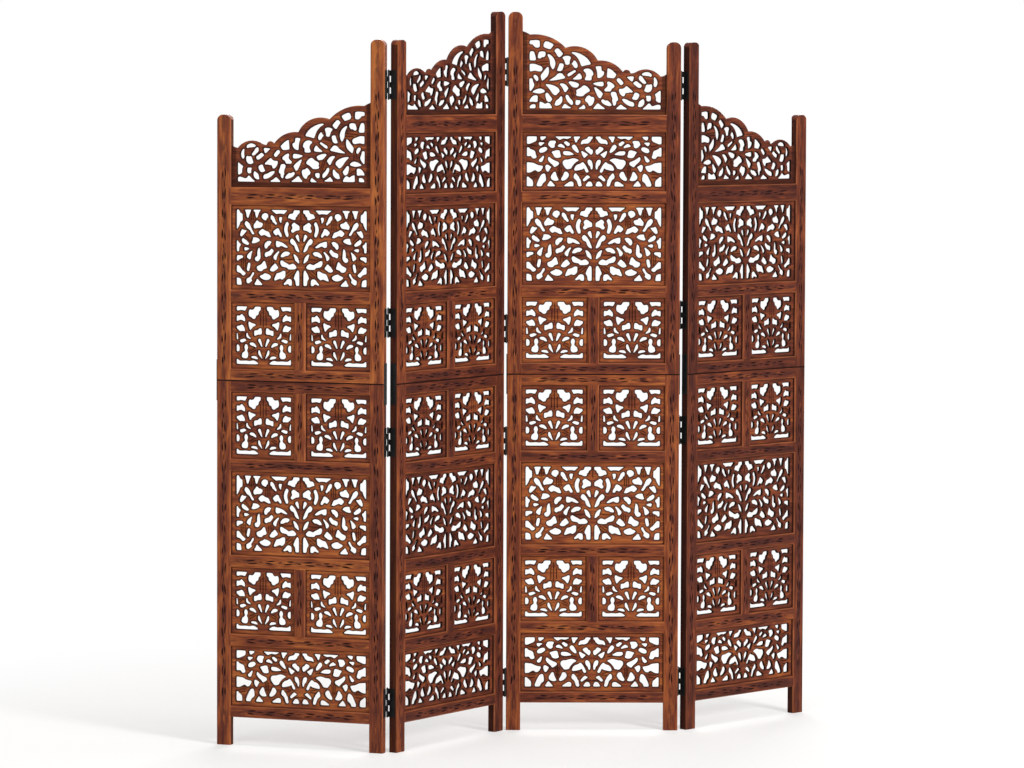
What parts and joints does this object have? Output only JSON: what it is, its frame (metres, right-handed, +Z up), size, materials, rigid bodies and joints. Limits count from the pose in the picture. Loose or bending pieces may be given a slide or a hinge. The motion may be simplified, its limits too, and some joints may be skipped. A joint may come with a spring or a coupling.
{
  "type": "folding carved wooden screen",
  "caption": "Free-standing folding room screen of hinged wooden panels with carved, pierced boards in jointed frames and a scalloped crest that rises to the middle.",
  "frame": {"origin": "on the floor, under the middle of the box round the whole screen as it stands in its zigzag", "axes": "+X along the screen to the right seen from the front, +Y to the back, +Z up; panel 3 lies along X"},
  "size_m": [1.3588, 0.615, 1.65],
  "materials": {
    "frame_wood": "reddish brown stain, satin",
    "carved_wood": "reddish brown stain, satin, darker in the carving",
    "black_steel": "black enamel, satin"
  },
  "bodies": {
    "panel_1": {"fold_12_left_leaves": "black_steel", "panel_1_crest_board": "carved_wood", "panel_1_joining_plates": "black_steel", "panel_1_lower_left_stile": "frame_wood", "panel_1_lower_right_stile": "frame_wood", "panel_1_mullions": "frame_wood", "panel_1_rails": "frame_wood", "panel_1_screws": "black_steel", "panel_1_square_boards": "carved_wood", "panel_1_tree_boards": "carved_wood", "panel_1_upper_left_stile": "frame_wood", "panel_1_upper_right_stile": "frame_wood", "panel_1_wide_board": "carved_wood"},
    "panel_2": {"fold_12_pins": "black_steel", "fold_12_right_leaves": "black_steel", "fold_23_left_leaves": "black_steel", "panel_2_crest_board": "carved_wood", "panel_2_joining_plates": "black_steel", "panel_2_lower_left_stile": "frame_wood", "panel_2_lower_right_stile": "frame_wood", "panel_2_mullions": "frame_wood", "panel_2_rails": "frame_wood", "panel_2_screws": "black_steel", "panel_2_square_boards": "carved_wood", "panel_2_tree_boards": "carved_wood", "panel_2_upper_left_stile": "frame_wood", "panel_2_upper_right_stile": "frame_wood", "panel_2_wide_boards": "carved_wood"},
    "panel_3": {"fold_23_pins": "black_steel", "fold_23_right_leaves": "black_steel", "fold_34_left_leaves": "black_steel", "panel_3_crest_board": "carved_wood", "panel_3_joining_plates": "black_steel", "panel_3_lower_left_stile": "frame_wood", "panel_3_lower_right_stile": "frame_wood", "panel_3_mullions": "frame_wood", "panel_3_rails": "frame_wood", "panel_3_screws": "black_steel", "panel_3_square_boards": "carved_wood", "panel_3_tree_boards": "carved_wood", "panel_3_upper_left_stile": "frame_wood", "panel_3_upper_right_stile": "frame_wood", "panel_3_wide_boards": "carved_wood"},
    "panel_4": {"fold_34_pins": "black_steel", "fold_34_right_leaves": "black_steel", "panel_4_crest_board": "carved_wood", "panel_4_joining_plates": "black_steel", "panel_4_lower_left_stile": "frame_wood", "panel_4_lower_right_stile": "frame_wood", "panel_4_mullions": "frame_wood", "panel_4_rails": "frame_wood", "panel_4_screws": "black_steel", "panel_4_square_boards": "carved_wood", "panel_4_tree_boards": "carved_wood", "panel_4_upper_left_stile": "frame_wood", "panel_4_upper_right_stile": "frame_wood", "panel_4_wide_board": "carved_wood"}
  },
  "joints": [
    {"name": "fold_12", "type": "hinge", "parent": "panel_2", "child": "panel_1", "pos_m": [-0.29341, -0.28593, 0], "axis": [0, 0, 1], "range_deg": [-109.5, 70.5]},
    {"name": "fold_23", "type": "hinge", "parent": "panel_2", "child": "panel_3", "pos_m": [-0.02889, 0.01477, 0], "axis": [0, 0, 1], "range_deg": [-127.5, 52.5]},
    {"name": "fold_34", "type": "hinge", "parent": "panel_3", "child": "panel_4", "pos_m": [0.37071, 0.04157, 0], "axis": [0, 0, 1], "range_deg": [-42.5, 137.5]}
  ]
}
